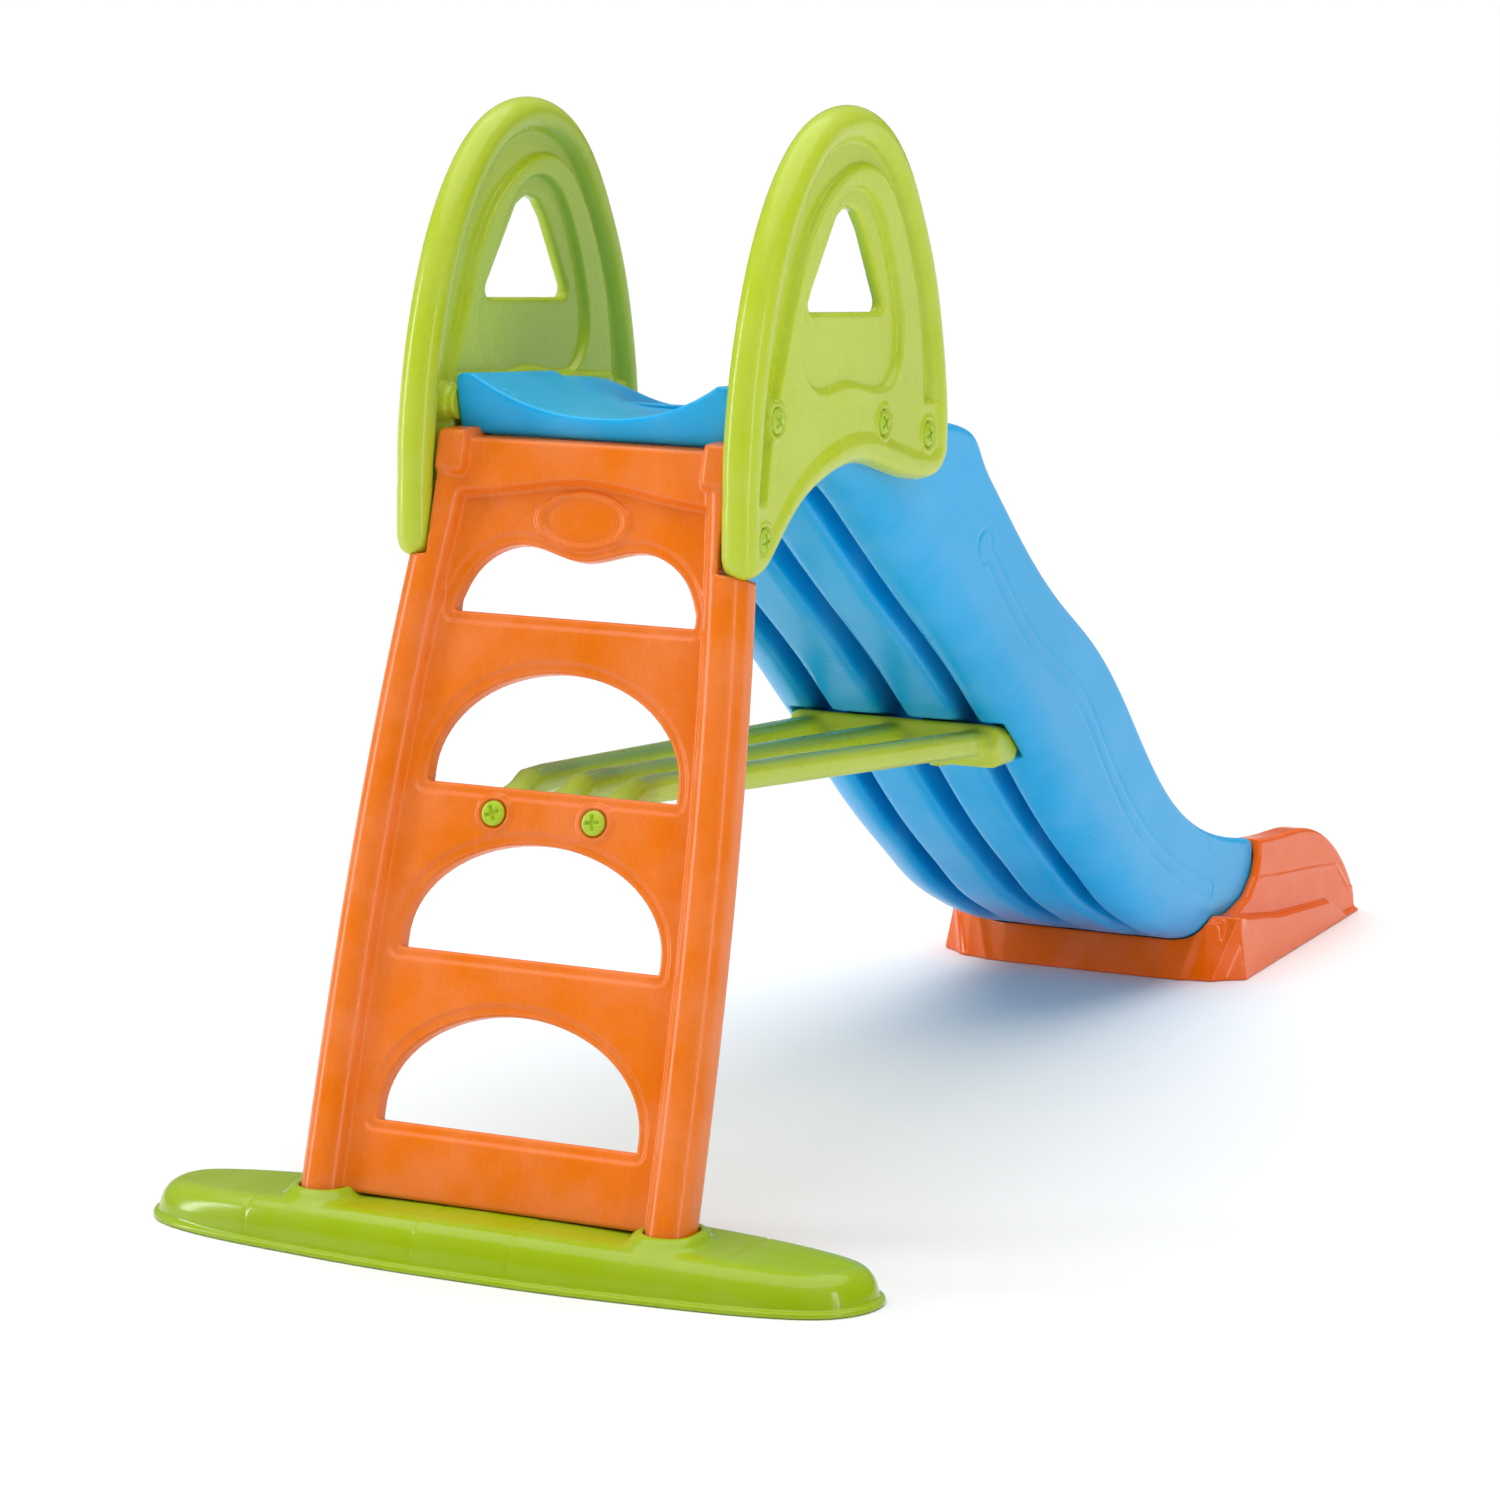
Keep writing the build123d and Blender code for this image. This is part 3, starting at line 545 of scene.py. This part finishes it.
def exit_piece(material):
    """The floor-level end: a humped trough on a flared base, with crisp creases at its back corners."""
    x, y, z, step = axes((595, -238, 0), (1182, 238, 182), 2.2)
    wide = np.abs(y)
    top_line = [EXIT_SHOULDER, smooth_curve(EXIT_TOP), [(EXIT_TIP, -300), (590, -300)]]
    below_top = from_side(np.concatenate(top_line), x, z)
    slide_line = [smooth_curve(EXIT_SLIDE), [(1174, -300), (560, -300)]]
    below_slide = from_side(np.concatenate(slide_line), x, z)
    emboss = np.interp(x, *zip(*EXIT_BEAD))
    bead = 1.3 * (1 - step_up(np.abs(z - emboss), 1.5, 4.5)) * step_up(x, 772, 785)
    upper = blend_max(wide - (207 - 0.045 * z) - bead, below_top, 8)
    plan = from_above(EXIT_PLAN, x, y)
    upper = blend_max(upper, plan + 0.12 * z, 4)
    fold = sum(5 * np.exp(-(((wide - at - 0.3 * z) / 8) ** 2)) for at in EXIT_FOLDS)
    foot_plan = plan - fold * (1 - step_up(x, 640, 680))
    shelf = np.interp(x, *zip(*EXIT_SHELF))
    lower = blend_max(foot_plan + 0.17 * z, z - shelf, 4)
    body = blend_min(upper, lower, 5)
    body = blend_max(body, -blend_max(-below_slide, wide - 158, 40), 10)
    outer, _ = chute_outside(x, y, z)
    body = np.maximum(body, 1.2 - outer)
    body = np.maximum(body, -z)
    body = np.maximum(body, x - EXIT_TIP)
    return mould("exit_trough", "exit_piece", material, body, (x, y, z), step)


# ---------------------------------------------------------------- screws
HEAD_RADIUS, HEAD_HEIGHT, SHANK_RADIUS = 15.0, 6.0, 7.0


def screw_surface(shank):
    """One plastic screw along +Z: a domed, cross-recessed head, its seat at zero, and a threaded shank."""
    a, b, c, step = axes((-16, -16, -shank), (16, 16, 7), 0.9)
    r = np.hypot(a, b)
    head = blend_max(r - HEAD_RADIUS, c - HEAD_HEIGHT + 0.009 * r**2, 3.5)
    head = blend_max(head, -c, 1)
    wide, tall = np.abs(a), np.abs(b)
    arm = np.minimum(np.maximum(wide - 9, tall - 1.9), np.maximum(tall - 9, wide - 1.9))
    head = blend_max(head, -np.maximum(arm, 2.6 - c), 1.4)
    thread = SHANK_RADIUS - 0.7 + 0.7 * np.cos(2 * pi * c / 5 - np.arctan2(b, a))
    body = blend_min(head, np.maximum(r - thread, np.maximum(c - 1, -shank - c)), 1.5)
    place, faces, normal = surface(np.asarray(body, np.float32))
    return corner_of((a, b, c)) + place * step, faces, normal


def screws(name, node, places, shank, material):
    """The same screw at each place: (origin, across, outward)."""
    points, faces, normal = screw_surface(shank)
    all_points, all_faces, all_normals = [], [], []
    for n, (origin, across, outward) in enumerate(places):
        turn = 0.4 + 1.3 * n
        outward = np.array(outward, float)
        across = np.array(across, float)
        second = np.cross(outward, across)
        first = cos(turn) * across + sin(turn) * second
        matrix = np.stack([first, np.cross(outward, first), outward], 1)
        all_points.append(points @ matrix.T + np.array(origin, float))
        all_normals.append(normal @ matrix.T)
        all_faces.append(faces + n * len(points))
    together = np.concatenate(all_points) * MM
    finish(new_mesh(name, together, np.concatenate(all_faces), np.concatenate(all_normals)), node, material)


# ---------------------------------------------------------------- materials
def set_range(node, low, high, start, end):
    """The four numbers of a map range node."""
    ends = {"From Min": low, "From Max": high, "To Min": start, "To Max": end}
    for socket, number in ends.items():
        node.inputs[socket].default_value = number


def plastic(name, colour, rough, coat, grain, peel):
    """Moulded polyethylene: mottled colour, upright grain, fine skin, light scuffs."""
    material = bpy.data.materials.new(name)
    material.use_nodes = True
    nodes, links = material.node_tree.nodes, material.node_tree.links
    shader = nodes["Principled BSDF"]
    where = nodes.new("ShaderNodeTexCoord").outputs["Object"]

    def noise(scale, detail, squash=(1, 1, 1), turn=0.0):
        mapping = nodes.new("ShaderNodeMapping")
        mapping.inputs["Scale"].default_value = squash
        mapping.inputs["Rotation"].default_value = (0, turn, turn)
        links.new(where, mapping.inputs["Vector"])
        texture = nodes.new("ShaderNodeTexNoise")
        texture.inputs["Scale"].default_value = scale
        texture.inputs["Detail"].default_value = detail
        links.new(mapping.outputs["Vector"], texture.inputs["Vector"])
        return texture.outputs["Fac"]

    def ramp(value, low, high, start, end):
        node = nodes.new("ShaderNodeMapRange")
        set_range(node, low, high, start, end)
        links.new(value, node.inputs["Value"])
        return node.outputs["Result"]

    def sum_of(a, b, kind="ADD"):
        node = nodes.new("ShaderNodeMath")
        node.operation = kind
        links.new(a, node.inputs[0])
        links.new(b, node.inputs[1])
        return node.outputs["Value"]

    mottle = noise(2.3, 4)
    upright = noise(9, 5, (26, 26, 1.2))
    cloud = noise(14, 6)
    tone = sum_of(ramp(mottle, 0.3, 0.7, -0.05, 0.05), ramp(upright, 0.3, 0.7, -grain, grain))
    tone = sum_of(tone, ramp(cloud, 0.35, 0.65, 0.985, 1.015))
    hue = nodes.new("ShaderNodeHueSaturation")
    hue.inputs["Color"].default_value = (*colour, 1)
    links.new(tone, hue.inputs["Value"])
    links.new(ramp(cloud, 0.3, 0.7, 1.03, 0.97), hue.inputs["Saturation"])
    links.new(hue.outputs["Color"], shader.inputs["Base Color"])

    scratch = ramp(noise(3, 3, (140, 6, 9), 0.7), 0.66, 0.72, 0, 1)
    patch = ramp(noise(6, 4), 0.5, 0.7, 0, 1)
    scuff = sum_of(scratch, patch, "MULTIPLY")
    skin = sum_of(ramp(cloud, 0.3, 0.7, rough - 0.04, rough + 0.05), ramp(scuff, 0, 1, 0, 0.12))
    links.new(skin, shader.inputs["Roughness"])
    shader.inputs["Coat Weight"].default_value = coat
    shader.inputs["Coat Roughness"].default_value = 0.08
    shader.inputs["IOR"].default_value = 1.45
    shader.inputs["Specular IOR Level"].default_value = 0.38

    height = sum_of(ramp(noise(420, 2), 0, 1, 0, peel), ramp(upright, 0, 1, 0, grain * 2.2))
    height = sum_of(height, ramp(scuff, 0, 1, 0, -0.12))
    bump = nodes.new("ShaderNodeBump")
    bump.inputs["Strength"].default_value = 0.5
    bump.inputs["Distance"].default_value = 0.0005
    links.new(height, bump.inputs["Height"])
    links.new(bump.outputs["Normal"], shader.inputs["Normal"])
    return material


ORANGE, BLUE, GREEN = (0.82, 0.185, 0.016), (0.008, 0.41, 0.82), (0.48, 0.6, 0.03)
orange = plastic("orange_satin", ORANGE, 0.26, 0.05, 0.03, 0.5)
orange_gloss = plastic("orange_gloss", (0.88, 0.13, 0.003), 0.14, 0.0, 0.0, 0.15)
blue = plastic("blue_satin", BLUE, 0.31, 0.08, 0.008, 0.4)
green = plastic("green_satin", GREEN, 0.28, 0.2, 0.02, 0.5)
green_gloss = plastic("green_gloss", (0.32, 0.46, 0.008), 0.18, 0.1, 0.0, 0.2)
green_screw = plastic("green_screw", (0.40, 0.57, 0.02), 0.24, 0.2, 0.0, 0.2)

# ---------------------------------------------------------------- the slide
foot_bar(green_gloss)
ladder(orange)
seat(blue)
for side in (1, -1):
    handrail(side, green)
chute(blue)
brace(green)
exit_piece(orange_gloss)


def upright(x, z, spread, up):
    """Two places side by side, whose screws face up (1) or down (-1)."""
    return [((x, y, z), (1, 0, 0), (0, 0, up)) for y in (spread, -spread)]


rail_faces = [((x, side * 229.0, z), (1, 0, 0), (0, side, 0)) for side in (1, -1) for x, z in HANDRAIL_SCREWS]
matrix, shift = ladder_turn
web_faces = [
    (matrix @ np.array([u, LADDER_SCREWS[1] / cos(LEAN), 18.0]) + shift, (0, -1, 0), matrix[:, 2])
    for u in (-LADDER_SCREWS[0], LADDER_SCREWS[0])
]
leg_faces = upright(ladder_x(8) - 6, 8, 227, -1)
for joined, places, shank in (
    ("handrail", rail_faces, 44),
    ("ladder", web_faces, 46),
    ("foot", leg_faces, 40),
    ("brace", upright(BAR_X, BAR_Z - 31, 55, -1), 48),
    ("exit", upright(700, 96, 55, 1), 80),
):
    screws(joined + "_screw_set", joined + "_screws", places, shank, green_screw)

# ---------------------------------------------------------------- studio
bpy.ops.mesh.primitive_plane_add(size=400, location=(0, 0, -0.0005))
floor = bpy.context.object
floor.name = "studio_floor"
paper = bpy.data.materials.new("studio_paper")
paper.use_nodes = True
paper_shader = paper.node_tree.nodes["Principled BSDF"]
paper_shader.inputs["Base Color"].default_value = (0.92, 0.92, 0.93, 1)
paper_shader.inputs["Roughness"].default_value = 0.6
floor.data.materials.append(paper)

AIR_LOW, AIR_HIGH = 0.14, 0.54  # strength of the sky at the horizon, and well above it
world = bpy.data.worlds.new("studio")
world.use_nodes = True
air, wires = world.node_tree.nodes, world.node_tree.links
height = air.new("ShaderNodeSeparateXYZ")
wires.new(air.new("ShaderNodeTexCoord").outputs["Generated"], height.inputs["Vector"])
fade = air.new("ShaderNodeMapRange")
set_range(fade, 0.0, 0.8, AIR_LOW, AIR_HIGH)
wires.new(height.outputs["Z"], fade.inputs["Value"])
wires.new(fade.outputs["Result"], air["Background"].inputs["Strength"])
air["Background"].inputs["Color"].default_value = (0.97, 0.985, 1.0, 1)
bpy.context.scene.world = world


def aim(lamp_object, direction):
    """Turn a light to shine along a direction."""
    lamp_object.rotation_euler = Vector(direction).to_track_quat("-Z", "Y").to_euler()


key = bpy.data.lights.new("key_light", "SUN")
key.energy = 2.35
key.angle = radians(80)
key.color = (1.0, 0.99, 0.97)
key_object = bpy.data.objects.new("key_light", key)
aim(key_object, (0.0, -0.06, -1))
bpy.context.scene.collection.objects.link(key_object)


def softbox(name, place, target, width, height, power):
    """A big rectangular lamp, which also gives the streaks of light on round edges."""
    lamp = bpy.data.lights.new(name, "AREA")
    lamp.shape = "RECTANGLE"
    lamp.size, lamp.size_y, lamp.energy = width, height, power
    lamp_object = bpy.data.objects.new(name, lamp)
    lamp_object.location = place
    aim(lamp_object, Vector(target) - Vector(place))
    bpy.context.scene.collection.objects.link(lamp_object)


softbox("front_box", (-2.8, -4.6, 1.5), (-0.5, 0, 0.5), 0.5, 3.0, 40)
softbox("left_box", (-2.9, 4.5, 1.8), (-0.7, 0, 0.6), 0.6, 3.0, 78)

camera = bpy.data.objects.new("camera", bpy.data.cameras.new("camera"))
camera.data.lens = 119.58
camera.data.sensor_width = 36.0
camera.data.clip_end = 1000.0
camera.location = (-5.8614, -2.7703, 1.5978)
camera.rotation_euler = (pi / 2 - 0.180015, 0, 0.47318 - pi / 2)
bpy.context.scene.collection.objects.link(camera)
bpy.context.scene.camera = camera
bpy.context.scene.view_settings.view_transform = "Standard"
